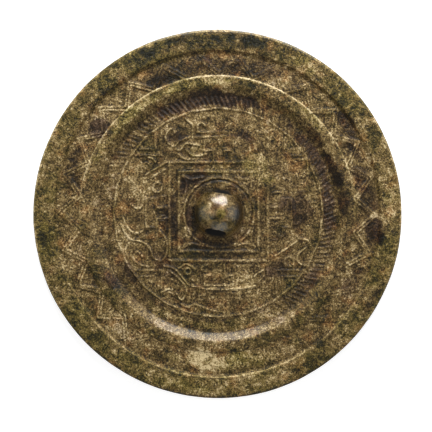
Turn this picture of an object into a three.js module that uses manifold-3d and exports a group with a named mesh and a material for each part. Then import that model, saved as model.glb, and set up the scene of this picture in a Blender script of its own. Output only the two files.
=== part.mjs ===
// An ancient bronze mirror of the kind with T, L and V marks, cast in one piece with its knob.
// It lies on its reflecting face with the decorated back up. Millimetres, +Z up, origin at the
// middle of the resting face, +Y towards the top of the pattern.
import * as THREE from "three";
import { mergeVertices } from "three/addons/utils/BufferGeometryUtils.js";
import Module from "manifold-3d";

// Plate: radii of its concentric bands, from the middle out, and the heights of their tops.
const mirrorRadius = 82.5;
const restingFlatRadius = 46;
const combInnerRadius = 47.6;
const combOuterRadius = 53.2;
const slopeTopRadius = 57.2;
const innerBandRadius = 61.8;
const zigzagOuterRadius = 72.2;
const outerBandStart = 73.3;
const edgeBevel = 1.1;
const lowerEdgeRound = 0.6;
const zigzagInnerStep = 0.5; // width of the step from the zigzag floor up to the inner band
const fieldHeight = 3;
const innerBandHeight = 5.6;
const zigzagFloorHeight = 5;
const outerBandHeight = 6.3;
const rimLift = 0.8; // how far the reflecting face curves up by the time it reaches the rim

// Knob, with the arched tunnel for a cord, and its seat.
const knobCentre = [0.7, 0.4];
const knobRadius = 11.6;
const knobHeight = 9.2;
const knobFullness = 1.1; // 1 is an ellipse, more is flatter towards the foot
const seatRadius = 14.6;
const seatHeight = 0.45;
const seatBevel = 0.7;
const seatLineRadius = 15.8;
const tunnelWidth = 9.4;
const tunnelFloor = fieldHeight + seatHeight;
const tunnelRoofs = [10, 8.3]; // height of the crown at the lower and the upper mouth
const tunnelArchRise = 2.2;
const tunnelTurn = THREE.MathUtils.degToRad(-10.3);

// Raised lines.
const lineHeight = 0.55;
const lineWidth = 0.8;
const fineWidth = 0.65;
const lineRoot = 0.4; // how deep a raised line is rooted below the surface it stands on

// Zigzag and comb bands.
const zigzagCount = 26;
const zigzagFeet = 63.2;
const zigzagTips = 71.2;
const zigzagSpacing = 1.9;
const zigzagStart = THREE.MathUtils.degToRad(-6.2);
const combCount = 110;
const combMargins = [0.5, 0.3]; // bare stretch between a tooth's ends and the edges of its band
const combLineWidth = 1.15;
const combLean = THREE.MathUtils.degToRad(13);

// Square frame and the marks around it.
const squareCentre = [0.6, 1];
const squareHalfSides = [17.9, 22.1];
const squareLineWidth = 1;
const tStemHalf = 2.7;
const tBarHalf = 6.5;
const tBar = [27.9, 32.2];
const lLegStart = -11;
const lFootEnd = 5;
const lFoot = [33.4, 35.9];
const vApex = 25.8;
const markWidth = 2.6;
const leafLength = 9;
const leafWaist = 3.5;
const ringLineRadius = 47;
const markEnd = 45.6; // how far from the middle the L and V marks reach

const bodySides = 72;
const knobSides = 36;
const domeSteps = 8;
const quarterTurns = [0, 1, 2, 3].map((n) => (n * Math.PI) / 2);

const wasm = await Module();
wasm.setup();

// A closed geometry as a solid: only its positions are kept, so that shared corners merge.
function solidOf(geometry) {
  geometry.deleteAttribute("normal");
  geometry.deleteAttribute("uv");
  const merged = mergeVertices(geometry);
  const corners = merged.index.array;
  const triVerts = [];
  for (let i = 0; i < corners.length; i += 3) {
    const [a, b, c] = [corners[i], corners[i + 1], corners[i + 2]];
    if (a !== b && b !== c && c !== a) triVerts.push(a, b, c);
  }
  return new wasm.Manifold(
    new wasm.Mesh({
      numProp: 3,
      vertProperties: merged.attributes.position.array,
      triVerts: new Uint32Array(triVerts),
    }),
  );
}

const join = (solids) => solids.reduce((whole, solid) => whole.add(solid));

// A profile of [radius, height] pairs turned about the vertical axis.
function turned(profile, sides, [x, y] = [0, 0]) {
  const points = profile.map(([radius, height]) => new THREE.Vector2(radius, height));
  const lathe = new THREE.LatheGeometry(points, sides);
  return solidOf(lathe.rotateX(Math.PI / 2).translate(x, y, 0));
}

// A direction in plan is an angle clockwise from +Y.
const polar = (radius, angle) =>
  new THREE.Vector2(radius * Math.sin(angle), radius * Math.cos(angle));

// The path moved sideways by a distance, with its corners mitred.
function offset(path, distance, closed) {
  const last = path.length - 1;
  const normal = (from, to) =>
    new THREE.Vector2(from.y - to.y, to.x - from.x).normalize();
  return path.map((point, i) => {
    const before = i > 0 ? path[i - 1] : closed ? path[last] : null;
    const after = i < last ? path[i + 1] : closed ? path[0] : null;
    const first = before ? normal(before, point) : normal(point, after);
    const second = after ? normal(point, after) : first;
    const mitre = first.clone().add(second).normalize();
    return point.clone().addScaledVector(mitre, distance / mitre.dot(first));
  });
}

// A raised line along a path in plan, standing on a surface at the given height.
// A closed path runs anticlockwise.
function raisedLine(path, width, surface, closed = false) {
  const left = offset(path, width / 2, closed);
  const right = offset(path, -width / 2, closed);
  const shape = new THREE.Shape(closed ? right : [...left, ...right.reverse()]);
  if (closed) shape.holes.push(new THREE.Path(left));
  const depth = lineRoot + lineHeight;
  const geometry = new THREE.ExtrudeGeometry(shape, { depth, bevelEnabled: false });
  return solidOf(geometry.translate(0, 0, surface - lineRoot));
}

const points = (...pairs) => pairs.map(([x, y]) => new THREE.Vector2(x, y));
const spun = (path, angle) =>
  path.map((point) => point.clone().rotateAround(new THREE.Vector2(), -angle));
const moved = (path, [x, y]) => path.map((point) => new THREE.Vector2(point.x + x, point.y + y));

// A curve through a few points, and a spiral whose radius changes evenly along its sweep.
const flowing = (...pairs) =>
  new THREE.SplineCurve(points(...pairs)).getPoints(3 * pairs.length - 3);
function spiral(centre, startRadius, endRadius, startAngle, sweep) {
  const steps = Math.ceil(Math.abs(sweep) / 40);
  const path = [];
  for (let i = 0; i <= steps; i++) {
    const angle = THREE.MathUtils.degToRad(startAngle + (sweep * i) / steps);
    const radius = THREE.MathUtils.lerp(startRadius, endRadius, i / steps);
    path.push(polar(radius, angle));
  }
  return moved(path, centre);
}
// A spiral that comes back to where it began.
const loop = (centre, radius) => spiral(centre, radius, radius, 0, -360).slice(0, -1);

function plate() {
  const underside = [0, 0.5, 1].map((share) => [
    THREE.MathUtils.lerp(restingFlatRadius, mirrorRadius - lowerEdgeRound, share),
    rimLift * share * share,
  ]);
  return turned(
    [
      [0, 0],
      ...underside,
      [mirrorRadius, rimLift + lowerEdgeRound],
      [mirrorRadius, outerBandHeight - edgeBevel / 2],
      [mirrorRadius - edgeBevel, outerBandHeight],
      [outerBandStart, outerBandHeight],
      [zigzagOuterRadius, zigzagFloorHeight],
      [innerBandRadius + zigzagInnerStep, zigzagFloorHeight],
      [innerBandRadius, innerBandHeight],
      [slopeTopRadius, innerBandHeight],
      [combOuterRadius, fieldHeight],
      [0, fieldHeight],
    ],
    bodySides,
  );
}

// The knob is a dome; the seat is a low collar and a raised line around it.
function knob() {
  const root = fieldHeight - lineRoot;
  const dome = [[0, root], [knobRadius, root]];
  for (let i = 0; i < domeSteps; i++) {
    const angle = (Math.PI / 2) * (i / domeSteps);
    dome.push([knobRadius * Math.cos(angle), fieldHeight + knobHeight * Math.sin(angle) ** knobFullness]);
  }
  dome.push([0, fieldHeight + knobHeight]);
  const seat = [
    [0, root],
    [seatRadius, root],
    [seatRadius, fieldHeight + seatHeight / 2],
    [seatRadius - seatBevel, fieldHeight + seatHeight],
    [0, fieldHeight + seatHeight],
  ];
  return join([
    turned(dome, knobSides, knobCentre),
    turned(seat, knobSides, knobCentre),
    raisedRing(seatLineRadius, lineWidth, knobCentre),
  ]);
}

// A raised ring on the field, with a ridged top.
function raisedRing(radius, width, centre) {
  const root = fieldHeight - lineRoot;
  const shoulder = fieldHeight + lineHeight / 2;
  const [inside, outside] = [radius - width / 2, radius + width / 2];
  const crown = [radius, fieldHeight + lineHeight];
  const section = [[inside, root], [outside, root], [outside, shoulder], crown, [inside, shoulder]];
  return turned([...section, section[0]], radius > seatRadius * 2 ? bodySides : knobSides, centre);
}

// The tunnel: straight sides under a flat arch, lower at its upper mouth.
function tunnel() {
  const half = tunnelWidth / 2;
  const [low, high] = tunnelRoofs;
  const springing = (low + high) / 2 - tunnelArchRise;
  const section = new THREE.Shape(points([-half, tunnelFloor], [half, tunnelFloor]));
  section.lineTo(half, springing);
  section.absellipse(0, springing, half, tunnelArchRise, 0, Math.PI, false);
  const length = 4 * knobRadius;
  const geometry = new THREE.ExtrudeGeometry(section, {
    depth: length,
    bevelEnabled: false,
    curveSegments: 8,
  });
  geometry.rotateX(Math.PI / 2).translate(0, length / 2, 0);
  // The roof falls evenly from one mouth to the other, and the floor stays level.
  const fall = (high - low) / (2 * knobRadius);
  const position = geometry.attributes.position;
  for (let i = 0; i < position.count; i++) {
    const above = (position.getZ(i) - tunnelFloor) / ((low + high) / 2 - tunnelFloor);
    const along = THREE.MathUtils.clamp(position.getY(i), -knobRadius, knobRadius);
    position.setZ(i, position.getZ(i) + above * fall * along);
  }
  return solidOf(geometry.rotateZ(tunnelTurn).translate(...knobCentre, 0));
}

// Two zigzag lines side by side, all the way round.
function zigzagBand() {
  const halfPitch = Math.PI / zigzagCount;
  return [0, 1].map((line) => {
    const drop = line * zigzagSpacing;
    const path = [];
    for (let i = 0; i < 2 * zigzagCount; i++) {
      const radius = (i % 2 ? zigzagFeet : zigzagTips) - drop;
      path.push(polar(radius, zigzagStart + i * halfPitch));
    }
    return raisedLine(path.reverse(), fineWidth, zigzagFloorHeight, true);
  });
}

// Short slanting teeth; they lean most at the top of the mirror and stand straight at the bottom.
function combBand() {
  const inner = combInnerRadius + combMargins[0];
  const outer = combOuterRadius - combMargins[1];
  const teeth = [];
  for (let i = 0; i < combCount; i++) {
    const angle = (2 * Math.PI * i) / combCount;
    const lean = (combLean * (1 + Math.cos(angle)) * (outer - inner)) / (2 * inner);
    const path = [polar(outer, angle - lean), polar(inner, angle + lean)];
    teeth.push(raisedLine(path, combLineWidth, fieldHeight));
  }
  return teeth;
}

// The square frame, with a T on each side, an L facing each T and a V facing each corner.
function squareAndMarks() {
  const onField = (path, width, closed) =>
    raisedLine(moved(path, squareCentre), width, fieldHeight, closed);
  const lines = squareHalfSides.map((half) =>
    onField(points([-half, -half], [half, -half], [half, half], [-half, half]), squareLineWidth, true),
  );
  const [, side] = squareHalfSides;
  const halfT = [[tStemHalf, side], [tStemHalf, tBar[0]], [tBarHalf, tBar[0]], [tBarHalf, tBar[1]]];
  const t = points(...halfT.map(([x, y]) => [-x, y]), ...halfT.reverse());
  const reach = (offAxis) => Math.sqrt(markEnd ** 2 - offAxis ** 2);
  const l = points(
    [lLegStart, reach(lLegStart)], [lLegStart, lFoot[0]], [lFootEnd, lFoot[0]], [lFootEnd, lFoot[1]],
    [lLegStart + markWidth, lFoot[1]], [lLegStart + markWidth, reach(lLegStart)],
  );
  const vInner = vApex + markWidth;
  const v = [
    points([vApex, reach(vApex)], [vApex, vApex], [reach(vApex), vApex]),
    points([vInner, reach(vInner)], [vInner, vInner], [reach(vInner), vInner]),
  ];
  // A pointed leaf in each corner of the square, from the seat of the knob outwards.
  const tip = squareHalfSides[0] - 1.6 * squareLineWidth;
  const shoulder = [tip - leafLength, tip - leafWaist / 4];
  const waist = [tip - leafWaist, tip - leafWaist / 2];
  const leaf = flowing(shoulder, waist, [tip, tip], [...waist].reverse(), [...shoulder].reverse());
  for (const angle of quarterTurns) {
    for (const path of [t, l, ...v, leaf]) lines.push(onField(spun(path, angle), fineWidth));
  }
  return lines;
}

// The scrollwork between the marks that is still clear; it is not the same on any two sides.
function scrolls() {
  const open = [
    // top left
    spiral([-20.8, 35.3], 4, 1.6, 250, 420),
    flowing([-17.7, 29], [-12.3, 31.7], [-8.3, 30.8]),
    flowing([-16.8, 27.7], [-13.2, 24.6], [-8.7, 25.1]),
    // left and bottom left
    spiral([-35.1, -18.8], 5.8, 1.8, 60, -540),
    flowing([-43.1, -3.6], [-40, -10.8], [-33.3, -13], [-30.2, -15.7]),
    flowing([-25.7, -9.4], [-22.9, -14.8], [-23.8, -21.5]),
    flowing([-36.6, 20.5], [-31.2, 16.2], [-32.2, 8.8], [-38.4, 6.2]),
    // bottom
    flowing([-23.6, -27.5], [-17.7, -26.6], [-13.2, -31.3]),
    spiral([-12.3, -26.3], 2.9, 1.2, 20, 430),
    spiral([-21, -35.5], 3.3, 1.5, 180, 360),
    flowing([-15.9, -41.5], [-12, -38.8], [-7.9, -40.8]),
    flowing([9.5, -24.5], [13.5, -28.5], [18.8, -27.2], [19.6, -31.8]),
    spiral([20.6, -36.4], 3.6, 1.4, 320, 400),
    // right
    spiral([35, 20.6], 5.4, 3, 200, 330),
    flowing([42.4, 9.6], [37, 10.4], [35.4, 5.2], [38.6, 2.1]),
    flowing([25.1, 12.8], [29.6, 15.9], [28.2, 20.9]),
    spiral([27.4, -13.2], 3, 1.3, 90, 400),
    flowing([36.9, -16.1], [41.3, -13], [43.2, -8.4]),
    // top right
    flowing([9.6, 25.2], [14, 28.4], [13.2, 36.2]),
    flowing([17, 36.8], [19.9, 33], [18.9, 27.8]),
  ];
  const closed = [loop([-28.4, 12.4], 2.2), loop([31.1, -20.4], 2.2), loop([-6.8, -26.6], 1.4)];
  return [
    ...open.map((path) => raisedLine(path, fineWidth, fieldHeight)),
    ...closed.map((path) => raisedLine(path, fineWidth, fieldHeight, true)),
  ];
}

function mirrorSolid() {
  const raised = [
    knob(),
    raisedRing(ringLineRadius, lineWidth, [0, 0.4]),
    ...zigzagBand(),
    ...combBand(),
    ...squareAndMarks(),
    ...scrolls(),
  ];
  return join([plate(), ...raised]).subtract(tunnel());
}

const { vertProperties, triVerts } = mirrorSolid().getMesh();
const geometry = new THREE.BufferGeometry();
geometry.setAttribute("position", new THREE.BufferAttribute(vertProperties, 3));
geometry.setIndex(new THREE.BufferAttribute(triVerts, 1));
const bronze = new THREE.MeshStandardMaterial({ color: 0x8a7a4e, roughness: 0.6, metalness: 0.7 });
bronze.flatShading = true;
const mirror = new THREE.Mesh(geometry, bronze);
mirror.name = "mirror";

const group = new THREE.Group();
group.add(mirror);
export default group;
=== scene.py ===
import math

import bpy
import numpy as np
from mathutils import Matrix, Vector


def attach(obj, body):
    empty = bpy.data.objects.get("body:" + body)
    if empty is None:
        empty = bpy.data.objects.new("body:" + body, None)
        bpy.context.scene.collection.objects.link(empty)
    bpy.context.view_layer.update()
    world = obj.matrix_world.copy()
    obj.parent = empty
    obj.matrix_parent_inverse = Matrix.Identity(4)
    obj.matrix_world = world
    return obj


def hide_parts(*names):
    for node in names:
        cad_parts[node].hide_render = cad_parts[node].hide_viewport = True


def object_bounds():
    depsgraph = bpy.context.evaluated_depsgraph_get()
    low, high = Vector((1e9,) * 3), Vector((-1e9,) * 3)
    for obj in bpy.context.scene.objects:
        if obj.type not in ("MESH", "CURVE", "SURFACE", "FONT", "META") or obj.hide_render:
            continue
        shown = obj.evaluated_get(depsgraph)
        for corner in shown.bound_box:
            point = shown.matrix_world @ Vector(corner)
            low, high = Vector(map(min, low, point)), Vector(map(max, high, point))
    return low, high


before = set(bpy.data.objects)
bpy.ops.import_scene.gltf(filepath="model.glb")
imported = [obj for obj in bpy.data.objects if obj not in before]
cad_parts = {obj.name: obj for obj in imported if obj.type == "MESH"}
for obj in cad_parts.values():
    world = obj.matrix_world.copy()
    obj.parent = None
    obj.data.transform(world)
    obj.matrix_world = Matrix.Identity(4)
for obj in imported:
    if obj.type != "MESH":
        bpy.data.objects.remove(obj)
cadLow, cadHigh = [list(map(float, corner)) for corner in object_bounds()]

# Sizes are in millimetres of a mirror 165 mm across, and mm is one of those millimetres in metres.
discRadius = 82.5
mm = (cadHigh[0] - cadLow[0]) / (2 * discRadius)
knobTop = cadHigh[2] / mm

# Camera, floor and lights.

# The camera looks straight down. The disc fills this share of the view's width, and the camera stands a
# little left of and below the disc's middle.
view = dict(lens=120, sensor=36, share=0.854, offset=(-0.65, -0.95), rimHeight=6)


def makeCamera():
    data = bpy.data.cameras.new("camera")
    data.lens = view["lens"]
    data.sensor_width = view["sensor"]
    camera = bpy.data.objects.new("camera", data)
    distance = discRadius * mm * view["lens"] / (view["sensor"] / 2 * view["share"])
    camera.location = (view["offset"][0] * mm, view["offset"][1] * mm, distance + view["rimHeight"] * mm)
    bpy.context.collection.objects.link(camera)
    bpy.context.scene.camera = camera


# Places and sizes in metres, power in watts. The floor glows a little, so that the shadow on it stays
# light. The north lamp is the main one, low and soft, from the top of the view and a little to its
# right. Nothing hangs straight above, so the flat bronze mirrors no lamp.
studio = dict(
    floorHalf=3, floorTone=0.6, floorGlow=0.75, floorRoughness=0.9, floorSpecular=0.1, worldStrength=0.1,
    softboxes=(
        # name, place, width and height, power
        ("north softbox", (0.06, 0.66, 0.46), (0.66, 0.44), 9.6),
        ("west softbox", (-0.9, 0.05, 0.7), (1.1, 1.3), 3.2),
        ("east softbox", (0.95, 0.05, 0.6), (1.1, 1.1), 3.8),
        ("south softbox", (0.05, -1, 0.55), (1.3, 1), 4),
    ),
)


def makeFloor():
    half = studio["floorHalf"]
    mesh = bpy.data.meshes.new("floor")
    corners = [(-half, -half, 0), (half, -half, 0), (half, half, 0), (-half, half, 0)]
    mesh.from_pydata(corners, [], [(0, 1, 2, 3)])
    floor = bpy.data.objects.new("floor", mesh)
    bpy.context.collection.objects.link(floor)
    material = bpy.data.materials.new("pale floor")
    material.use_nodes = True
    shader = material.node_tree.nodes["Principled BSDF"]
    shader.inputs["Base Color"].default_value = (*[studio["floorTone"]] * 3, 1)
    shader.inputs["Emission Color"].default_value = (1, 1, 1, 1)
    shader.inputs["Emission Strength"].default_value = studio["floorGlow"]
    shader.inputs["Roughness"].default_value = studio["floorRoughness"]
    shader.inputs["Specular IOR Level"].default_value = studio["floorSpecular"]
    mesh.materials.append(material)


def hangSoftbox(name, place, size, watts):
    # An oval lamp that faces the mirror.
    data = bpy.data.lights.new(name, "AREA")
    data.shape = "ELLIPSE"
    data.size, data.size_y = size
    data.energy = watts
    lamp = bpy.data.objects.new(name, data)
    lamp.location = place
    lamp.rotation_euler = (-lamp.location).to_track_quat("-Z", "Y").to_euler()
    bpy.context.collection.objects.link(lamp)


def makeLight():
    world = bpy.data.worlds.new("studio")
    world.use_nodes = True
    background = world.node_tree.nodes["Background"]
    background.inputs["Color"].default_value = (1, 1, 1, 1)
    background.inputs["Strength"].default_value = studio["worldStrength"]
    scene = bpy.context.scene
    scene.world = world
    scene.view_settings.view_transform = "Standard"
    scene.view_settings.look = "None"
    for softbox in studio["softboxes"]:
        hangSoftbox(*softbox)


makeCamera()
makeFloor()
makeLight()
print("stage set")

# Plan geometry: points in millimetres, angles in degrees clockwise from the top of the view.


def polar(radius, degrees):
    angle = np.radians(degrees)
    return np.stack([radius * np.sin(angle), radius * np.cos(angle)], axis=-1)


def angleOf(x, y):
    return np.degrees(np.arctan2(x, y)) % 360


def spun(path, degrees):
    turn = np.radians(degrees)
    x, y = np.asarray(path, float).T
    return np.stack([x * np.cos(turn) + y * np.sin(turn), y * np.cos(turn) - x * np.sin(turn)], axis=1)


def flowing(*points, steps=6):
    # A Catmull-Rom curve: from each point, b, to the next, c, a cubic bent by the points on either side.
    ends = np.array([points[0], *points, points[-1]], float)
    a, b, c, d = (ends[first : len(ends) - 3 + first, None] for first in range(4))
    t = np.arange(steps)[:, None] / steps
    curve = 0.5 * (2 * b + (c - a) * t + (2 * a - 5 * b + 4 * c - d) * t**2 + (3 * b - a - 3 * c + d) * t**3)
    return np.concatenate([curve.reshape(-1, 2), ends[-1:]])


def loop(centre, radius):
    # A circle in steps of 15 degrees.
    return polar(radius, np.linspace(0, 360, 25)) + np.array(centre)


def closed(path):
    return np.concatenate([path, path[:1]])


def eased(value):
    # 0 below 0, 1 above 1, and three times the square less twice the cube between.
    share = np.clip(value, 0, 1)
    return share * share * (3 - 2 * share)


def within(distance, limit, fade):
    # 0 from the limit outwards, 1 from the fade inside it inwards, eased between.
    return eased((limit - distance) / fade)


def noise(x, y, size, seed, layers=1):
    # Random heights on a square lattice, eased between its points. Each layer has half the size and
    # strength of the one before.
    lines = 256
    total = np.zeros_like(x)
    for layer in range(layers):
        lattice = np.random.default_rng(seed + layer).uniform(-1, 1, (lines, lines))
        step = size / 2**layer
        gx, gy = x / step + lines / 2, y / step + lines / 2
        ix, iy = np.floor(gx).astype(int), np.floor(gy).astype(int)
        fx, fy = eased(gx - ix), eased(gy - iy)
        ix, iy, jx, jy = ix % lines, iy % lines, (ix + 1) % lines, (iy + 1) % lines
        low = lattice[iy, ix] * (1 - fx) + lattice[iy, jx] * fx
        high = lattice[jy, ix] * (1 - fx) + lattice[jy, jx] * fx
        total += (low * (1 - fy) + high * fy) / 2**layer
    return total


def lumps(x, y, kinds):
    # The sum of several noises, each given by its height, size, seed and number of layers.
    return sum(height * noise(x, y, size, seed, layers) for height, size, seed, layers in kinds)


# Relief of the decorated back.

bands = dict(
    # radius and height of each corner of the profile, and how far the corners are rounded
    corners=(
        (0, 3), (53.2, 3), (57.2, 5.6), (61.8, 5.6), (62.3, 5), (72.2, 5), (73.3, 6.3), (81.4, 6.3),
        (82.5, 5.75),
    ),
    rounding=0.28,
)
fieldHeight = bands["corners"][0][1]
lineHeight = 0.6


def stroke(path, width, height=lineHeight, centre=(0, 0)):
    # A raised line along a path of points.
    return dict(path=np.asarray(path, float) + np.array(centre), width=width, height=height)


knob = dict(
    centre=(0.7, 0.4), radius=11.6, fullness=1.1, seatRadius=14.6, seatHeight=0.45,
    lineRadius=15.8, lineWidth=0.95, around=112, rings=30, nearTop=0.985, footDepth=0.6, footOut=0.1,
    # swells and dents, each as height, size, seed and layers, and how far the dome is drawn in for them
    swells=(0.1, 5, 31, 2), dents=(0.05, 1.3, 33, 2), inset=0.1, topInset=0.12,
)
ringLine = dict(centre=(0.3, 0.6), radius=47, width=0.85)


def roundStrokes():
    # The line around the knob's seat and the one around the field.
    return [
        stroke(loop(knob["centre"], knob["lineRadius"]), knob["lineWidth"]),
        stroke(loop(ringLine["centre"], ringLine["radius"]), ringLine["width"]),
    ]


# Clarity is what is left of a line's height, by angle.
zigzag = dict(
    count=26, feet=63.2, tips=71.2, spacing=1.9, start=-6.2, width=0.85,
    clarity=(
        (0, 0.6), (30, 0.75), (45, 1.05), (100, 1.05), (125, 0.75), (150, 0.45), (200, 0.45),
        (215, 0.95), (262, 1.05), (272, 0.8), (282, 1.1), (335, 1.1), (345, 0.7), (360, 0.6),
    ),
)


def zigzagStrokes():
    # Two zigzag lines, one inside the other, turn by turn at the tips' and at the feet's radius.
    angles = zigzag["start"] + np.arange(2 * zigzag["count"]) * 180 / zigzag["count"]
    radii = np.where(np.arange(len(angles)) % 2, zigzag["feet"], zigzag["tips"])
    made = []
    for drop in (0, zigzag["spacing"]):
        path = closed(polar(radii - drop, angles))
        for ends in zip(path, path[1:]):
            kept = np.interp(angleOf(*np.mean(ends, axis=0)), *zip(*zigzag["clarity"]))
            made.append(stroke(ends, zigzag["width"], lineHeight * kept))
    return made


comb = dict(
    count=144, inner=48.35, outer=52.9, width=0.95, height=0.5, lean=1.15,
    clarity=(
        (0, 1), (22, 1), (45, 0.55), (75, 0.7), (130, 0.65), (165, 0.3), (280, 0.25), (325, 0.7),
        (360, 1),
    ),
)


def combStrokes():
    # Teeth across the band, each turned a little between its outer and its inner end.
    made = []
    for angle in np.arange(comb["count"]) * 360 / comb["count"]:
        ends = [polar(comb["outer"], angle - comb["lean"]), polar(comb["inner"], angle + comb["lean"])]
        kept = np.interp(angle, *zip(*comb["clarity"]))
        made.append(stroke(ends, comb["width"], comb["height"] * kept))
    return made


square = dict(centre=(0.6, 1), halfSides=(17.9, 22.1), width=1.05)


def squareStrokes():
    made = []
    for half in square["halfSides"]:
        corners = [(-half, -half), (half, -half), (half, half), (-half, half), (-half, -half)]
        made.append(stroke(corners, square["width"], centre=square["centre"]))
    return made


marks = dict(
    centre=(0.6, 0.4), stemHalf=2.5, barHalf=6.45, bar=(28, 32.7), leg=(-11.8, -9.5), legEnd=39.8, footEnd=5,
    foot=(34, 36.2), apexes=(25.8, 28.6), vReach=45.4, line=0.75, fadedHeight=0.3, vHeight=0.4,
)
# The leaf's tip lies this many line widths inside the corner of the inner square.
leaf = dict(length=9, waist=3.5, gap=1.6)


def markStrokes():
    # A T on each side of the square, an L facing it, a V facing each corner and a leaf inside each
    # corner. The L at the top is the only one that still stands up well.
    innerSide, side = square["halfSides"]
    stem, bar = marks["stemHalf"], marks["barHalf"]
    low, high = marks["bar"]
    halfT = [(stem, side), (stem, low), (bar, low), (bar, high)]
    outlineT = [(-x, y) for x, y in halfT] + halfT[::-1]
    (outer, inner), (low, high) = marks["leg"], marks["foot"]
    end, toe = marks["legEnd"], marks["footEnd"]
    outlineL = [(outer, end), (outer, low), (toe, low), (toe, high), (inner, high), (inner, end)]
    tip = innerSide - leaf["gap"] * square["width"]
    shoulder = (tip - leaf["length"], tip - leaf["waist"] / 4)
    waist = (tip - leaf["waist"], tip - leaf["waist"] / 2)
    petal = flowing(shoulder, waist, (tip, tip), waist[::-1], shoulder[::-1])
    made = []
    for turn in (0, 90, 180, 270):
        made.append(stroke(spun(outlineT, turn), marks["line"], centre=marks["centre"]))
        heightL = lineHeight if turn == 0 else marks["fadedHeight"]
        made.append(stroke(spun(outlineL, turn), marks["line"], heightL, marks["centre"]))
        for apex in marks["apexes"]:
            far = math.sqrt(marks["vReach"] ** 2 - apex**2)
            arms = spun([(apex, far), (apex, apex), (far, apex)], turn)
            made.append(stroke(arms, marks["line"], marks["vHeight"], marks["centre"]))
        made.append(stroke(spun(petal, turn), marks["line"], centre=square["centre"]))
    return made


# The clear scrolls stand highest at the top, above the height in the plan that topFrom gives.
scroll = dict(width=0.75, height=0.7, topFrom=24, topHeight=0.85, faintWidth=0.65, faintHeight=0.4)


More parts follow.
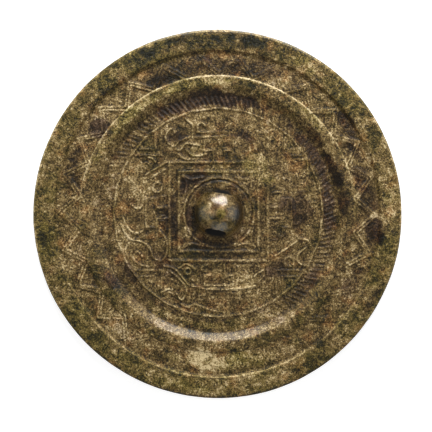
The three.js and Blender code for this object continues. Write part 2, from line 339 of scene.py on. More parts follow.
def scrollStrokes():
    clear = [
        # top left
        flowing(
            (-12.6, 34.4), (-17.2, 32.6), (-19.7, 30.3), (-23.3, 34), (-21.4, 38.1), (-18.9, 36.6),
            (-20.4, 35.4),
        ),
        flowing((-18.4, 29.2), (-16.5, 28.9), (-14, 31.6), (-8.4, 30.7)),
        flowing((-17.6, 27), (-14.2, 24.5), (-10.6, 24.6)),
        flowing((-14, 29), (-11, 26.1), (-5, 26.8)),
        flowing((-14.3, 42.6), (-12.5, 41.2), (-11.2, 40.2)),
        flowing((-9.2, 39.8), (-7.4, 40.9), (-5.4, 39.7)),
        # left
        flowing((-31, 25.3), (-29.2, 24.9), (-28, 23.4)),
        [(-32.1, 17.7), (-22.8, 23.2)],
        [(-29.4, 16.6), (-23.8, 19.9)],
        flowing((-39.7, 15.8), (-36.4, 12.6), (-33.6, 8), (-34, 3.7), (-36, 2.3), (-39, 4.3)),
        flowing((-42.6, -1.5), (-39.7, -7), (-36.6, -8.6), (-33.7, -7.8)),
        flowing(
            (-43.6, -4.6), (-39.7, -11), (-34.6, -12.3), (-30.8, -14.9), (-28.9, -19.3), (-25.7, -21.2),
            (-23.5, -19.3), (-22.5, -15.5), (-23.2, -11), (-26.3, -7.8),
        ),
        flowing((-33.6, -19.2), (-35.9, -16.9), (-37.9, -19.3), (-35.3, -22.6), (-30.7, -23.8)),
        flowing((-39.8, -12.9), (-41.4, -16.2), (-39.9, -19.9)),
        loop((-27, 11.8), 2.1),
        # bottom
        flowing((-24, -23.4), (-19.3, -24.8), (-15.7, -28.8), (-12.8, -32.4)),
        flowing((-21.5, -25.7), (-17.4, -28.9), (-13.8, -34), (-16, -38.6), (-18.4, -35.9)),
        flowing((-24.9, -35.3), (-22.9, -34), (-20.3, -33.9)),
        flowing((-17.4, -24.5), (-14, -22.6), (-10.2, -24.8)),
        flowing((-4.6, -22.7), (-7.4, -24.6), (-5.2, -25.8)),
        flowing((-11.4, -32.3), (-4.5, -33.9), (6.4, -33.9), (16.8, -32.6)),
        flowing((-16.1, -40.7), (-13.2, -41.9), (-10.2, -40.5), (-6.4, -42.2), (-0.3, -43.9)),
        flowing((16.5, -28), (18.4, -26.5), (20.1, -25.5)),
        loop((-13.4, -25.8), 1.4),
        # right
        flowing((35.7, -12.2), (31.2, -15.5), (25.7, -19)),
        flowing((35.5, -9.5), (36.8, -11.2), (40.3, -11.7), (42.4, -14.9)),
        flowing((39.9, -14.9), (36.1, -18.6), (36.6, -22), (39.4, -23.2)),
        flowing((25.2, 9.4), (27.4, 9.8), (29.6, 9.1)),
        flowing((37.4, 13.6), (39.7, 12.9), (41.3, 8.4)),
        flowing((37.5, 24.3), (40.2, 24.2), (40.7, 17.8)),
        loop((32.2, -21.5), 2.1),
        # top right
        flowing((1.6, 35.1), (7.2, 34.5), (10.6, 34.8), (12.4, 37.2)),
        flowing((12.6, 36.8), (16.5, 34.5), (20, 30.1)),
        flowing((12.4, 34.6), (15.7, 32.6), (17.6, 28.4)),
        flowing((17.2, 37.6), (20.6, 36.2), (24.2, 37.6)),
    ]
    faint = [
        # short cuts, hooks and bars between the clearer scrolls
        flowing((-25.1, 30.5), (-25.9, 33), (-25.4, 36)),
        flowing((-8, 34), (-5, 34.8), (-2.5, 35.6)),
        loop((-32, 21.5), 1.4),
        [(-25, 7.8), (-23, 7.9)],
        [(-26.4, 2.2), (-22.8, 2.4)],
        [(-26, -1.2), (-23.6, -1)],
        flowing((-26.5, -3), (-23.4, -3.6), (-23.4, -7.4), (-25, -8)),
        flowing((-36.5, -11.1), (-34.5, -10.7), (-31.8, -9.5)),
        flowing((-24.6, -36.6), (-22, -35.2), (-19.4, -36.4)),
        flowing((-23.4, -28), (-22.2, -27.4), (-20.7, -27.8)),
        [(-8.4, -36.8), (-5.4, -36.5)],
        [(-8.4, -38.8), (-5.3, -38.6)],
        flowing((5.7, -34), (7.6, -33.3), (8.8, -34.6)),
        loop((18.3, -28.8), 1.2),
        [(14, -23.2), (16.1, -23.4)],
        flowing((26.5, -9.9), (28.8, -10.4), (30.3, -9)),
        flowing((23.4, -14.6), (24.6, -12), (27, -11.6)),
        [(31.6, 12), (33.4, 8.4)],
        [(40.4, 5.4), (44.2, 5.1)],
        [(26.5, 20.7), (29.5, 17.6)],
        flowing((31.1, 17.2), (34, 17.3), (36.8, 16.1)),
        flowing((5.7, 39.3), (8, 39.7), (9.5, 38.8)),
        [(6.1, 37.8), (8.4, 37.8)],
        [(3.4, 43.8), (7.2, 42.6)],
        flowing((4.5, 32.6), (5.3, 31.5), (6.8, 30.7)),
        [(5.7, 27.2), (8, 26.7)],
        flowing((8.4, 25.7), (7.2, 24.2), (6.1, 23.4)),
        [(9.9, 29.9), (13.4, 30.1)],
        [(12.6, 25.3), (15.3, 24.5)],
        flowing((22, -25), (22.8, -29), (22.1, -33.4)),
        flowing((26.2, -26.8), (27.9, -30), (28.1, -34)),
        *[[(x, 20.3 - 0.9 * i), (x + 2.5, 20.4 - 0.9 * i)] for i, x in enumerate((-13.6, -12.9, -13.2))],
    ]
    made = [stroke(path, scroll["faintWidth"], scroll["faintHeight"]) for path in faint]
    for path in clear:
        atTop = np.mean(path, axis=0)[1] > scroll["topFrom"]
        made.append(stroke(path, scroll["width"], scroll["topHeight"] if atTop else scroll["height"]))
    return made


strokes = [
    *roundStrokes(),
    *zigzagStrokes(),
    *combStrokes(),
    *squareStrokes(),
    *markStrokes(),
    *scrollStrokes(),
]

# Distances are in half widths of a stroke: how far it is worked out, and the steepness, power and foot
# of its side.
lineShape = dict(reach=3.4, steepness=0.8, power=2.6, foot=2.1)
# The share of the relief that is gone all over, how that varies, and the most that is gone anywhere.
wear = dict(
    everywhere=0.12, uneven=(0.16, 9, 40, 2), most=0.92,
    # middle and radius of each worn place, and how much of the relief is gone there
    places=(
        ((20, 26), 17, 0.65), ((33, 12), 10, 0.4), ((8, 38), 9, 0.4), ((2, -68), 26, 0.45),
        ((-20, -66), 16, 0.3),
    ),
)
# The casting's unevenness, as height, size, seed and layers of each noise.
unevenness = ((0.07, 11, 3, 2), (0.05, 2.6, 9, 2), (0.03, 0.9, 21, 1))


def bandHeight(radius):
    # The corners of the profile, rounded by an average with bell-shaped weights.
    step, reach = 0.05, 20
    fine = np.arange(0, discRadius + 3, step)
    heights = np.interp(fine, *zip(*bands["corners"]))
    bell = np.exp(-((np.arange(-reach, reach + 1) * step / bands["rounding"]) ** 2))
    rounded = np.convolve(np.pad(heights, reach, mode="edge"), bell / bell.sum(), mode="valid")
    return np.interp(radius, fine, rounded)


def reliefOf(x, y):
    # Height of the raised lines over the ground, and how close the foot of a line is, where the colour is
    # darkened for dirt and as painted shade. Both die away as e to the minus a power of the distance from
    # the stroke: the first has a flat top and steep sides, and the second is a wide bell.
    line, foot = np.zeros_like(x), np.zeros_like(x)
    for one in strokes:
        half = one["width"] / 2
        reach = lineShape["reach"] * half
        for start, end in zip(one["path"], one["path"][1:]):
            (lowX, lowY), (highX, highY) = np.minimum(start, end) - reach, np.maximum(start, end) + reach
            near = np.flatnonzero((x > lowX) & (x < highX) & (y > lowY) & (y < highY))
            px, py = x[near] - start[0], y[near] - start[1]
            dx, dy = end - start
            along = np.clip((px * dx + py * dy) / (dx * dx + dy * dy), 0, 1)
            distance = np.hypot(px - along * dx, py - along * dy) / half
            side = np.exp(-lineShape["steepness"] * distance ** lineShape["power"])
            line[near] = np.maximum(line[near], one["height"] * side)
            foot[near] = np.maximum(foot[near], np.exp(-((distance / lineShape["foot"]) ** 2)))
    return line, foot


def wearAt(x, y):
    # The share of the relief that is gone: a little everywhere, and more in the worn places.
    gone = wear["everywhere"] + lumps(x, y, [wear["uneven"]])
    for (cx, cy), radius, amount in wear["places"]:
        gone = gone + amount * within(np.hypot(x - cx, y - cy) / radius, 1.3, 1)
    return np.clip(gone, 0, wear["most"])


def fromKnob(x, y):
    return np.hypot(x - knob["centre"][0], y - knob["centre"][1])


def surfaceAt(x, y):
    # Height of the decorated back: its band, the knob's seat, the worn ornament and the casting's
    # unevenness.
    radius = np.hypot(x, y)
    line, _ = reliefOf(x, y)
    seat = knob["seatHeight"] * within(fromKnob(x, y), knob["seatRadius"] + 0.2, 0.8)
    uneven = lumps(x, y, unevenness) * within(radius, discRadius, 1.5)
    return bandHeight(radius) + seat + line * (1 - wearAt(x, y)) + uneven


# The mesh: a square grid in the field that turns round towards its edge, then rings.

grid = dict(
    cells=184, fieldRadius=46.2, turnsRoundFrom=0.45, squeeze=0.92,
    # where each stretch of rings ends, and how many there are in it
    rings=(
        (47, 2), (53.4, 14), (57.2, 6), (61.6, 5), (62.6, 4), (71.9, 21), (73.5, 5), (81.2, 8),
        (82.5, 4),
    ),
)
# Radius and height down the side. The reflecting face is flat in the middle, and from there it lifts
# with the square of the way to its border. Nicks and lumps are noises on a circle, as height, size, seed
# and layers.
edge = dict(
    side=((82.5, 4.4), (82.5, 2.9), (82.4, 1.6), (81.8, 0.92)),
    flatRadius=46, border=81.5, lift=0.8, steps=(0.93, 0.8, 0.6, 0.4, 0.2, 0),
    flatRings=np.arange(42, 1, -4),
    nicks=((0.09, 7, 61, 2), (0.04, 1.6, 65, 2)), nickCircle=30, inset=0.06,
    # from which radius the nicks grow, and over what width, on the back and below
    nicksOnBack=(80, 2.5), nicksBelow=(60, 22),
    lumps=((0.05, 3, 77, 2),), lumpCircle=60, lumpsAbove=1,
)


def fieldGrid():
    # Square rings around the middle. Each one's points also have a place on a circle, at even angles,
    # and the further out the ring, the more they lie on the circle instead of on the square.
    line = np.linspace(-1, 1, grid["cells"] + 1)
    u, v = np.meshgrid(line, line, indexing="ij")
    size = np.maximum(np.abs(u), np.abs(v))
    safe = np.where(size == 0, 1, size)
    flat = np.abs(u) >= np.abs(v)
    angle = np.where(
        flat,
        np.pi / 4 * v / np.where(flat, np.where(u == 0, 1, u), safe) + np.where(u < 0, np.pi, 0),
        np.pi / 2 - np.pi / 4 * u / np.where(flat, safe, np.where(v == 0, 1, v)) + np.where(v < 0, np.pi, 0),
    )
    roundness = eased((size - grid["turnsRoundFrom"]) / (1 - grid["turnsRoundFrom"]))
    x = grid["squeeze"] * u * (1 - roundness) + size * np.cos(angle) * roundness
    y = grid["squeeze"] * v * (1 - roundness) + size * np.sin(angle) * roundness
    return grid["fieldRadius"] * x.ravel(), grid["fieldRadius"] * y.ravel()


def ringRadii():
    radii, start = [], grid["fieldRadius"]
    for end, count in grid["rings"]:
        radii += list(np.linspace(start, end, count + 1)[1:])
        start = end
    return np.array(radii)


def edgeProfile():
    # From the top corner of the rim down its side and in under the mirror: radius and height.
    flat, wide = edge["flatRadius"], edge["border"] - edge["flatRadius"]
    return [*edge["side"], *[(flat + wide * step, edge["lift"] * step * step) for step in edge["steps"]]]


def ringFaces(rings):
    # Four-cornered faces between each ring of points and the next.
    pairs = zip(rings, rings[1:])
    return [np.stack([one, other, np.roll(other, -1), np.roll(one, -1)], axis=1) for one, other in pairs]


def plateMesh():
    cells = grid["cells"]
    around = 4 * cells
    angle = np.radians(-45 + np.arange(around) * 90 / cells)
    cos, sin = np.cos(angle), np.sin(angle)
    # How far the outline strays from a true circle.
    stray = lumps(edge["nickCircle"] * cos, edge["nickCircle"] * sin, edge["nicks"]) - edge["inset"]

    # The decorated back, from the middle to the rim.
    fieldX, fieldY = fieldGrid()
    radii = ringRadii()
    start, width = edge["nicksOnBack"]
    share = eased((radii - start) / width)[:, None] * stray
    ringX, ringY = np.outer(radii, cos) + share * cos, np.outer(radii, sin) + share * sin
    topX, topY = np.concatenate([fieldX, ringX.ravel()]), np.concatenate([fieldY, ringY.ravel()])
    vertices = [np.stack([topX, topY, surfaceAt(topX, topY)], axis=1)]
    index = np.arange((cells + 1) ** 2).reshape(cells + 1, cells + 1)
    field = np.stack([index[:-1, :-1], index[1:, :-1], index[1:, 1:], index[:-1, 1:]], axis=-1)
    border = np.concatenate([index[-1, :-1], index[:0:-1, -1], index[0, :0:-1], index[:-1, 0]])
    rings = [border, *(np.arange(ringX.size).reshape(ringX.shape) + index.size)]
    count = len(topX)

    # The side and the lifted part of the reflecting face.
    start, width = edge["nicksBelow"]
    for radius, height in edgeProfile():
        reach = radius + stray * eased((radius - start) / width)
        if height > edge["lumpsAbove"]:
            reach = reach + lumps(edge["lumpCircle"] * cos, edge["lumpCircle"] * sin + height, edge["lumps"])
        vertices.append(np.stack([reach * cos, reach * sin, np.full(around, height)], axis=1))
        rings.append(np.arange(around) + count)
        count += around

    # Its flat middle, where the rings have a quarter as many points. Seven-cornered faces lead over to
    # them.
    coarseRings = []
    for radius in edge["flatRings"]:
        vertices.append(np.stack([radius * cos[::4], radius * sin[::4], np.zeros(cells)], axis=1))
        coarseRings.append(np.arange(cells) + count)
        count += cells
    fine, coarse = rings[-1], coarseRings[0]
    inside, outside = [coarse, np.roll(coarse, -1)], [fine[3::4], fine[2::4], fine[1::4]]
    gore = [fine[0::4], *inside, np.roll(fine, -4)[0::4], *outside]
    quads = np.concatenate([field.reshape(-1, 4), *ringFaces(rings), *ringFaces(coarseRings)])
    faces = quads.tolist() + np.stack(gore, axis=1).tolist() + [coarseRings[-1][::-1].tolist()]
    return np.concatenate(vertices) * mm, faces


def solid(name, vertices, faces):
    mesh = bpy.data.meshes.new(name)
    mesh.from_pydata(vertices.tolist(), [], faces)
    mesh.update()
    made = bpy.data.objects.new(name, mesh)
    bpy.context.collection.objects.link(made)
    return made


def tubeFaces(ringCount, around):
    # Four-cornered faces between rings of points, and one face over each end.
    index = np.arange(ringCount * around).reshape(ringCount, around)
    lower, upper = index[:-1], index[1:]
    sides = np.stack([lower, np.roll(lower, -1, 1), np.roll(upper, -1, 1), upper], axis=-1).reshape(-1, 4)
    return sides.tolist() + [index[0][::-1].tolist(), index[-1].tolist()]


def knobMesh():
    # A dome: up an angle from 0 to nearly 90 degrees its reach falls as the cosine, and it rises as the
    # sine to the power of its fullness. A ring below the field comes first, so that the dome goes into
    # the plate.
    height = knobTop - fieldHeight
    climb = np.linspace(0, 1, knob["rings"]) * np.pi / 2 * knob["nearTop"]
    rise = np.concatenate([[-knob["footDepth"] / height], np.sin(climb) ** knob["fullness"]])[:, None]
    reach = np.concatenate([[knob["radius"] + knob["footOut"]], knob["radius"] * np.cos(climb)])[:, None]
    angle = np.arange(knob["around"]) * 2 * np.pi / knob["around"]
    x, y = reach * np.cos(angle), reach * np.sin(angle)
    # The swells and dents shift with the height, so that they don't run straight up the dome.
    lump = lumps(x + 3 * rise, y, [knob["swells"]]) + lumps(x, y + 4 * rise, [knob["dents"]])
    shrink = 1 + (lump - knob["inset"]) / knob["radius"]
    top = fieldHeight + height * rise * np.where(rise > 0.3, 1 + (lump - knob["topInset"]) / height, 1)
    vertices = np.stack([x * shrink, y * shrink, top], axis=-1).reshape(-1, 3)
    vertices = vertices + np.array([*knob["centre"], 0])
    return vertices * mm, tubeFaces(knob["rings"] + 1, knob["around"])


# The roofs are its heights at the lower and at the upper mouth, and the springing is a share of the height
# between floor and roof. The chipping is a noise's strength, size, seed and layers.
tunnel = dict(
    width=9.4, floor=3.45, roofs=(10, 8.3), springing=0.614, turn=10.3, halfLength=20,
    archPoints=15, floorPoints=9, stations=41, chipping=(0.03, 1.7, 51, 2),
)


def tunnelSection(along):
    # Half width, height of the springing and height of the crown. The crown's changes evenly between the
    # mouths.
    share = np.clip(0.5 + along / 2 / knob["radius"], 0, 1)
    roof = tunnel["roofs"][0] * (1 - share) + tunnel["roofs"][1] * share
    return tunnel["width"] / 2, tunnel["floor"] + tunnel["springing"] * (roof - tunnel["floor"]), roof


def tunnelMesh():
    # The section, a flat floor under half an ellipse, carried along a straight line through the knob.
    arch = np.linspace(0, np.pi, tunnel["archPoints"])
    flat = np.linspace(-1, 1, tunnel["floorPoints"])
    along = np.linspace(-tunnel["halfLength"], tunnel["halfLength"], tunnel["stations"])[:, None]
    half, springing, roof = tunnelSection(along)
    across = half * np.concatenate([flat, np.cos(arch)])
    floor = np.full((tunnel["stations"], tunnel["floorPoints"]), tunnel["floor"])
    z = np.concatenate([floor, springing + (roof - springing) * np.sin(arch)], axis=1)
    y = np.broadcast_to(along, z.shape)
    x = across * (1 + lumps(y, z + across, [tunnel["chipping"]]))
    vertices = np.stack([x, y, z], axis=-1).reshape(-1, 3)
    vertices[:, :2] = spun(vertices[:, :2], tunnel["turn"]) + np.array(knob["centre"])
    return vertices * mm, [face[::-1] for face in tubeFaces(*z.shape)]


def combined(target, tool, operation):
    # The target with the tool joined to it or cut out of it, and the tool removed.
    modifier = target.modifiers.new(operation, "BOOLEAN")
    modifier.object, modifier.operation, modifier.solver = tool, operation, "MANIFOLD"
    evaluated = target.evaluated_get(bpy.context.evaluated_depsgraph_get())
    mesh = bpy.data.meshes.new_from_object(evaluated)
    target.modifiers.clear()
    target.data = mesh
    bpy.data.objects.remove(tool)


def makeMirror():
    mirror = solid("cast_mirror", *plateMesh())
    print("plate", len(mirror.data.polygons), "faces")
    combined(mirror, solid("knob_dome", *knobMesh()), "UNION")
    combined(mirror, solid("tunnel_cutter", *tunnelMesh()), "DIFFERENCE")
    mesh = mirror.data
    mesh.name = "cast_mirror"
    # Smooth, but for the edges of more than 50 degrees.
    mesh.shade_smooth()
    mesh.set_sharp_from_angle(angle=math.radians(50))
    mesh.calc_loop_triangles()
    print("mirror", len(mesh.loop_triangles), "triangles")
    return mirror


mirror = makeMirror()

# Patina and painted light: what lies where, as one number per vertex for each kind.

# Middle (angle clockwise from the top, radius), half sizes along the band and across it, shade from -1,
# black, to 1, pale, and warmth from -1, green, to 1, red-brown.
stainsAndSheen = [
    ((336, 64), (8, 3.2), -0.8, -0.1), ((306, 64.5), (7, 4.6), -0.75, 0.4),
    ((294, 68), (5, 2.5), -0.55, 0.2), ((286, 68), (5, 3), -0.5, 0), ((280, 62), (4, 6), -0.3, 0.1),
    ((318, 74), (14, 0.9), -0.6, 0), ((55, 70), (8, 3.4), -0.7, 0.3), ((64, 67), (6, 3), -0.55, 0.4),
    ((75, 66.5), (7, 4), -0.65, 0.2), ((86, 68), (6, 4), -0.4, 0.3), ((96, 71), (7, 4.6), -0.75, 0.5),
    ((99, 74.4), (3.4, 1.2), -0.9, 0), ((70, 55.6), (12, 2.6), -0.9, 0.4),
    ((84, 56.5), (9, 2.2), -0.7, 0.3), ((50, 55.5), (9, 1.8), -0.5, 0.3),
    ((140, 73), (6, 2.4), -0.6, -0.2), ((118, 68), (8, 3), -0.3, 0.3),
    ((238, 56.3), (6, 3.2), -0.7, 0.4), ((247, 61.5), (7, 3), -0.5, -0.3),
    ((236, 46.8), (6, 3), -0.55, 0.2), ((12, 78.6), (6, 2.6), -0.85, -0.4),
    ((1, 79), (7, 2.2), -0.6, -0.5), ((15, 59.5), (3, 2.2), -0.8, -0.4),
    ((64, 78.5), (5, 2.6), -0.55, -0.3), ((340, 79), (9, 2.4), -0.35, -0.4),
    ((222, 78), (8, 3), -0.3, -0.4), ((150, 79), (9, 2.4), -0.35, 0), ((262, 78), (9, 3), -0.25, -0.7),
    ((190, 78.5), (11, 2.4), -0.2, -0.4), ((120, 79.5), (9, 2), -0.4, 0.2),
    ((0, 52), (30, 3.4), -0.85, 0.6), ((185, 50.5), (42, 2.6), 0.4, -0.3),
    ((0, 67), (44, 4.8), -0.5, 0.15), ((0, 78), (46, 4.4), -0.5, -0.1), ((180, 67), (40, 4), 0.55, -0.1),
    ((180, 78), (42, 4), 0.3, 0.1), ((90, 59.5), (38, 2), -0.25, 0.1),
    ((322, 59.5), (34, 2), 0.15, -0.35), ((72, 50.5), (26, 3), -0.3, 0.8),
    ((128, 51), (14, 2.6), -0.15, 0.4), ((268, 50.5), (26, 3), 0.3, -0.1), ((0, 20), (12, 3), 0.3, -0.1),
    ((180, 20), (17, 3), -0.2, 0), ((270, 20), (17, 3), -0.25, 0.2), ((88, 38), (8, 5), -0.35, 0.5),
    ((82, 31), (5, 4), -0.2, 0.4), ((270, 22), (8, 5), -0.4, 0.3), ((332, 39), (6, 3.4), -0.5, 0.5),
    ((20, 37), (6, 3), -0.45, 0.5), ((200, 15.5), (14, 3), -0.4, 0.1), ((132, 38), (8, 5), -0.35, 0.4),
    ((228, 33), (8, 5), -0.3, 0.4), ((326, 20), (6, 3), -0.5, 0.2), ((40, 27), (9, 6), 0.4, -0.4),
    ((293, 38), (7, 8), 0.35, 0.1), ((255, 43), (8, 4), 0.4, 0.2), ((163, 32), (7, 5), 0.55, 0.1),
    ((345, 30), (5, 4), 0.3, -0.3), ((182, 66), (22, 4), 0.35, -0.1), ((222, 67), (12, 4), 0.3, 0.1),
    ((350, 59.5), (16, 1.8), 0.45, -0.1), ((318, 59), (10, 2), 0.35, 0), ((28, 66), (6, 3), 0.25, -0.2),
    # The pale patches on the south slope, at 186 and at 245 degrees around radius 55 to 56, are a painted
    # highlight: the north lamp's sheen on that slope.
    ((30, 77.5), (8, 3), 0.3, -0.2), ((88, 77.5), (8, 3), 0.35, 0), ((186, 55.8), (44, 2), 0.5, 0.5),
    ((45, 60), (7, 2), 0.3, -0.2), ((245, 55), (9, 2), 0.2, 0),
]
# The same on and around the knob, by x and y and half sizes in millimetres.
knobStainsAndShade = [
    ((-5, 0.5), (2.6, 5.4), 0.15, -0.3), ((1.3, 0.2), (2.4, 2.4), 0.1, -1.2),
    # The dark patches at x 9.4 and at x -9.7 are painted shade: the dark that the knob's steep right and
    # left sides reflect.
    ((-1.2, 3.4), (1.6, 1.8), -0.4, 0), ((9.4, 1.2), (2, 4.8), -0.5, 0.3),
    ((13.6, 0.5), (1.7, 5), 0.5, 0), ((8.5, -7.8), (4.5, 2.8), 0.35, 0.1),
    ((-9.7, -1.2), (1.9, 6.6), -0.75, -0.3), ((-13, -0.8), (1.5, 7), -0.1, 0.7),
    ((-8.5, 16), (4, 3), -0.4, 0.5), ((-14.2, -8), (2.6, 3), 0.5, -0.1), ((1, 13.4), (5, 1), 0.5, 0),
    ((-14.6, 12), (2, 3), -0.4, 0.3),
]
# Thin pale and dark lines along edges: radius, half width, and how pale by angle. The first three are a
# painted highlight where the edge faces the north lamp: the inner band's outer edge, the rim's bevel and the
# step up to the outer band. The rim's bevel and that step are also painted shade where they face away. The
# smallest lies around the knob, darker towards the top of the view.
edgeSheenAndShade = [
    (61.9, 0.32, ((0, 1.3), (50, 1), (75, 0.3), (110, 0), (250, 0), (280, 0.6), (310, 1.2), (360, 1.3))),
    (82, 0.45, ((0, 0.45), (100, 0.35), (140, -0.3), (180, -0.7), (225, -0.2), (265, 0.6), (360, 0.45))),
    (73, 0.4, ((0, -0.3), (90, -0.1), (130, 0.4), (180, 0.7), (235, 0.4), (280, 0), (360, -0.3))),
    (14.9, 0.6, ((0, -0.35), (90, -0.2), (180, 0), (270, -0.2), (360, -0.35))),
]
# How the outlines of the stains, and of the patches of painted light among them, fray: a noise's strength,
# size, seed and layers.
fraying = (0.4, 5, 81, 4)
# Radius, and the shade and warmth there, which change evenly to the next.
zoneTone = [
    (0, 0, -0.05), (9, -0.05, 0), (11, -0.2, 0.1), (12, -0.2, 0.35), (17, -0.12, 0.15), (22, -0.16, 0.1),
    (46, 0, 0.05), (48, 0, 0.25), (53, -0.03, 0.25), (54.5, -0.05, 0), (58, -0.04, -0.1),
    (61.5, -0.04, -0.15), (63, -0.02, 0.1), (71.5, 0, 0.05), (74, 0.02, -0.25), (82.5, 0, -0.3),
]


def tonesAt(x, y):
    # Shade and warmth of each point: those of its radius, and what the edge lines, painted highlight and
    # painted shade, and the stains add. A few of the stains are painted light too.
    angle, radius = angleOf(x, y), np.hypot(x, y)
    radii, zoneShade, zoneWarmth = np.array(zoneTone).T
    shade, warmth = np.interp(radius, radii, zoneShade), np.interp(radius, radii, zoneWarmth)
    frayed = lumps(x, y, [fraying])
    for ring, half, amounts in edgeSheenAndShade:
        away = np.abs((fromKnob(x, y) if ring < knob["lineRadius"] else radius) - ring) / half
        shade = shade + np.interp(angle, *zip(*amounts)) * within(away, 1.4, 1)
    for (middle, ring), (along, across), dark, warm in stainsAndSheen:
        off = ((angle - middle + 180) % 360 - 180) * np.radians(1) * ring
        share = within(np.hypot(off / along, (radius - ring) / across), 1.1 + frayed, 0.5)
        shade, warmth = shade + dark * share, warmth + warm * share
    for (cx, cy), (halfX, halfY), dark, warm in knobStainsAndShade:
        share = within(np.hypot((x - cx) / halfX, (y - cy) / halfY), 1.15 + frayed, 0.5)
        shade, warmth = shade + dark * share, warmth + warm * share
    return np.clip(shade, -1.2, 1), np.clip(warmth, -1, 1)


# How far the painted shade of the tunnel reaches beyond its roof and sides, how far in from the knob's foot
# it ends at the mouths, and how softly it ends each way.
tunnelShadeReach = dict(
    roof=0.1, roofFade=0.5, sides=0.5, sidesFade=0.4, mouth=2.4, bend=2, upperMouth=0.3, mouthFade=0.7,
)


def tunnelShadeAt(x, y, z):
    # Painted shade: 1 inside the tunnel, 0 elsewhere; at the mouths it ends in a curve.
    across, along = spun(np.stack([x, y], axis=1) - np.array(knob["centre"]), -tunnel["turn"]).T
    half, springing, crown = tunnelSection(along)
    bend = np.sqrt(np.clip(1 - (across / half) ** 2, 0, 1))
    roof = springing + (crown - springing) * bend
    mouth = knob["radius"] - tunnelShadeReach["mouth"] + tunnelShadeReach["bend"] * bend
    mouth = mouth - np.where(along > 0, tunnelShadeReach["upperMouth"], 0)
    below = within(z, roof + tunnelShadeReach["roof"], tunnelShadeReach["roofFade"])
    between = within(np.abs(across), half + tunnelShadeReach["sides"], tunnelShadeReach["sidesFade"])
    return below * between * within(np.abs(along), mouth, tunnelShadeReach["mouthFade"])


# Strengths of what is rubbed smooth, those of the slope, the rim and the inner band's edge by angle, and
# where these three lie: the radius, and half the width of the stretch or how quickly it comes in.
polish = dict(
    dome=0.7, seat=0.3, slopeAt=(55.4, 1.8), rimFrom=(81.4, 0.4), bandEdgeAt=(61.9, 0.35),
    slope=((0, 0), (115, 0), (150, 0.22), (215, 0.26), (250, 0.1), (290, 0), (360, 0)),
    rim=((0, 0.3), (110, 0.2), (145, 0), (225, 0), (260, 0.3), (360, 0.3)),
    bandEdge=((0, 0.5), (50, 0.4), (80, 0), (270, 0), (300, 0.5), (360, 0.5)),
)


def polishAt(x, y):
    # The knob most, its seat less, and stretches of the slope, of the rim and of the band's edge.
    radius, angle = np.hypot(x, y), angleOf(x, y)
    places = (polish["slopeAt"], polish["rimFrom"], polish["bandEdgeAt"])
    slopeAway, rimAway, bandEdgeAway = [(radius - place) / width for place, width in places]
    dome = polish["dome"] * within(fromKnob(x, y), knob["radius"] + 0.3, 1.2)
    seat = polish["seat"] * within(fromKnob(x, y), knob["seatRadius"] - 0.3, 0.8)
    slope = np.interp(angle, *zip(*polish["slope"])) * within(np.abs(slopeAway), 1.6, 1)
    rim = np.interp(angle, *zip(*polish["rim"])) * eased(rimAway)
    bandEdge = np.interp(angle, *zip(*polish["bandEdge"])) * within(np.abs(bandEdgeAway), 1.4, 1)
    return dome + seat + slope + rim + bandEdge


def paintVertices(mirror):
    mesh = mirror.data
    place = np.empty(3 * len(mesh.vertices))
    mesh.vertices.foreach_get("co", place)
    x, y, z = (place.reshape(-1, 3) / mm).T
    line, foot = reliefOf(x, y)
    shade, warmth = tonesAt(x, y)
    values = {
        "shade": shade,
        "warmth": warmth,
        # Tops of the lines: wear and a painted highlight. Their feet: dirt and painted shade.
        "raised": line / lineHeight * (1 - wearAt(x, y)),
        "footDirtAndShade": foot * (1 - line / lineHeight),
        "polish": polishAt(x, y),
        # where the tunnel's shade is painted
        "tunnelShade": tunnelShadeAt(x, y, z),
        "underside": within(z, bandHeight(np.hypot(x, y)) - 1.6, 0.8),
    }
    for name, value in values.items():
        mesh.attributes.new(name, "FLOAT", "POINT").data.foreach_set("value", value.astype(np.float32))


paintVertices(mirror)
print("patina mapped")

# The one material.


def linear(*levels):
    # From the levels of a colour picker, 0 to 255, to linear light, with alpha 1.
    shares = np.array(levels) / 255
    return (*np.where(shares <= 0.04045, shares / 12.92, ((shares + 0.055) / 1.055) ** 2.4).tolist(), 1)


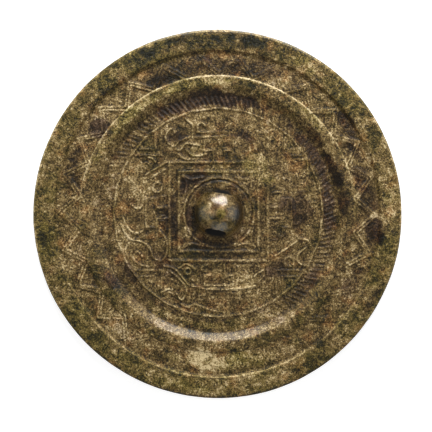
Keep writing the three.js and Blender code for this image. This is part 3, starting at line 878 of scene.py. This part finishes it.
class Sketch:
    # Short ways to add nodes to a tree and to link them.
    def __init__(self, tree):
        self.tree = tree

    def node(self, kind, **settings):
        made = self.tree.nodes.new(kind)
        for name, value in settings.items():
            setattr(made, name, value)
        return made

    def join(self, source, target):
        if isinstance(source, (int, float, tuple)):
            target.default_value = source
        else:
            self.tree.links.new(source, target)

    def math(self, operation, a, b):
        made = self.node("ShaderNodeMath", operation=operation)
        self.join(a, made.inputs[0])
        self.join(b, made.inputs[1])
        return made.outputs[0]

    def total(self, *terms):
        # The sum of (value, weight) pairs.
        parts = [self.math("MULTIPLY", value, weight) for value, weight in terms]
        whole = parts[0]
        for part in parts[1:]:
            whole = self.math("ADD", whole, part)
        return whole

    def mix(self, share, a, b):
        made = self.node("ShaderNodeMix", data_type="RGBA")
        self.join(share, made.inputs["Factor"])
        self.join(a, made.inputs["A"])
        self.join(b, made.inputs["B"])
        return made.outputs["Result"]

    def ramp(self, value, low, high):
        made = self.node("ShaderNodeMapRange", interpolation_type="SMOOTHSTEP")
        self.join(value, made.inputs["Value"])
        self.join(low, made.inputs["From Min"])
        self.join(high, made.inputs["From Max"])
        return made.outputs["Result"]

    def scale(self, value, colours):
        # A row of colours, evenly spread over values from 0 to 1.
        made = self.node("ShaderNodeValToRGB")
        row = made.color_ramp.elements
        while len(row) < len(colours):
            row.new(0.5)
        for i, colour in enumerate(colours):
            row[i].position = i / (len(colours) - 1)
            row[i].color = colour
        self.join(value, made.inputs[0])
        return made.outputs[0]

    def grain(self, size, detail, roughness, shift):
        # Noise whose spots are about size millimetres wide, from about -1 to 1.
        where = self.node("ShaderNodeTexCoord").outputs["Object"]
        moved = self.node("ShaderNodeVectorMath", operation="ADD")
        self.join(where, moved.inputs[0])
        moved.inputs[1].default_value = (shift, shift, shift)
        made = self.node("ShaderNodeTexNoise")
        self.join(moved.outputs[0], made.inputs["Vector"])
        made.inputs["Scale"].default_value = 1 / (size * mm)
        made.inputs["Detail"].default_value = detail
        made.inputs["Roughness"].default_value = roughness
        return self.math("MULTIPLY", self.math("SUBTRACT", made.outputs[0], 0.5), 4.0)

    def attribute(self, name):
        return self.node("ShaderNodeAttribute", attribute_name=name).outputs["Fac"]


# Five tones from the darkest stain to the palest earth, in each cast.
tones = dict(
    green=((18, 18, 5), (50, 45, 14), (96, 82, 34), (136, 118, 60), (192, 178, 126)),
    brown=((24, 16, 4), (56, 41, 17), (99, 79, 43), (141, 119, 74), (204, 184, 140)),
    rust=((30, 17, 5), (70, 43, 16), (113, 80, 40), (155, 121, 70), (208, 184, 138)),
    plum=((22, 13, 5), (50, 34, 20), (78, 58, 38), (110, 88, 64), (176, 158, 130)),
    underside=((44, 42, 34), (64, 62, 48), (82, 80, 62), (98, 92, 70), (120, 110, 84)),
)
# Each grain's size in millimetres, detail, roughness and shift.
grains = dict(
    fine=(0.4, 1, 0.6, 0), speck=(0.9, 2, 0.7, 3.1), pits=(0.7, 2, 0.5, 5.3), blotch=(3, 5, 0.7, 7.7),
    cloud=(13, 3, 0.5, 1.3), rust=(7, 4, 0.6, 9.9),
)
# How much each thing adds to how pale a spot is, starting from the middle. The tops of the lines are made
# paler for wear and as a painted highlight, and their feet darker for dirt and as painted shade.
paleness = dict(
    fine=0.26, speck=0.34, blotch=0.42, cloud=0.19, shade=0.44, footDirtAndShade=-0.22, raised=0.3, pits=-0.5,
)
# How much each thing adds to how warm a spot is.
warming = dict(warmth=0.55, cloud=0.3, blotch=0.25)
# Between which values each of these comes in: pits and rust by their grain, the others by how warm it is.
comesIn = dict(pits=(0.25, 0.7), rust=(0.05, 0.75), brown=(-0.4, 0.1), plum=(0.15, 0.6))
# How much each grain raises the surface.
bumps = dict(fine=0.5, speck=1, blotch=0.4, pits=-0.8)
patina = dict(
    # the middle of the tones, how much polish calms the grain, and the near-black colour painted inside the
    # tunnel as shade
    middle=0.49, polishCalms=0.5, tunnelShade=(9, 7, 4),
    # the roughness, and what pale, fine-grained and polished places and the tunnel's painted shade add to it
    roughness=0.34, paleRoughness=0.22, fineRoughness=0.04, polishRoughness=-0.16, tunnelShadeRoughness=0.4,
    metallic=0.25, specular=0.3, coat=1, coatRoughness=0.2, bump=0.85, bumpDepth=0.09,
)


def patinatedBronze():
    # One number, pale, picks the tone in each cast. Another, warm, goes from the green cast over brown,
    # which is rust in places, to plum.
    material = bpy.data.materials.new("patinated bronze")
    material.use_nodes = True
    draw = Sketch(material.node_tree)
    shader = material.node_tree.nodes["Principled BSDF"]
    part = {name: draw.grain(*values) for name, values in grains.items()}
    for name in ("shade", "warmth", "raised", "footDirtAndShade", "polish", "tunnelShade", "underside"):
        part[name] = draw.attribute(name)
    # Polished places have less grain.
    kept = draw.math("SUBTRACT", 1.0, draw.math("MULTIPLY", part["polish"], patina["polishCalms"]))
    part["pits"] = draw.ramp(part["pits"], *comesIn["pits"])
    for name in ("fine", "speck", "pits"):
        part[name] = draw.math("MULTIPLY", part[name], kept)
    pale = draw.total(*[(part[name], weight) for name, weight in paleness.items()])
    pale = draw.math("ADD", pale, patina["middle"])
    inCast = {cast: draw.scale(pale, [linear(*levels) for levels in row]) for cast, row in tones.items()}
    warm = draw.total(*[(part[name], weight) for name, weight in warming.items()])
    brown = draw.mix(draw.ramp(part["rust"], *comesIn["rust"]), inCast["brown"], inCast["rust"])
    colour = draw.mix(draw.ramp(warm, *comesIn["brown"]), inCast["green"], brown)
    colour = draw.mix(draw.ramp(warm, *comesIn["plum"]), colour, inCast["plum"])
    colour = draw.mix(part["underside"], colour, inCast["underside"])
    # Painted shade: the inside of the tunnel is coloured near black.
    colour = draw.mix(part["tunnelShade"], colour, linear(*patina["tunnelShade"]))
    draw.join(colour, shader.inputs["Base Color"])
    rough = draw.total(
        (pale, patina["paleRoughness"]), (part["fine"], patina["fineRoughness"]),
        (part["polish"], patina["polishRoughness"]), (part["tunnelShade"], patina["tunnelShadeRoughness"]),
    )
    draw.join(draw.math("ADD", rough, patina["roughness"]), shader.inputs["Roughness"])
    shader.inputs["Metallic"].default_value = patina["metallic"]
    shader.inputs["Specular IOR Level"].default_value = patina["specular"]
    draw.join(draw.math("MULTIPLY", part["polish"], patina["coat"]), shader.inputs["Coat Weight"])
    shader.inputs["Coat Roughness"].default_value = patina["coatRoughness"]
    bump = draw.node("ShaderNodeBump")
    bump.inputs["Strength"].default_value = patina["bump"]
    bump.inputs["Distance"].default_value = patina["bumpDepth"] * mm
    draw.join(draw.total(*[(part[name], weight) for name, weight in bumps.items()]), bump.inputs["Height"])
    draw.join(bump.outputs["Normal"], shader.inputs["Normal"])
    return material


mirror.data.materials.clear()
mirror.data.materials.append(patinatedBronze())
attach(mirror, "root")
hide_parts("mirror")
print("material made")
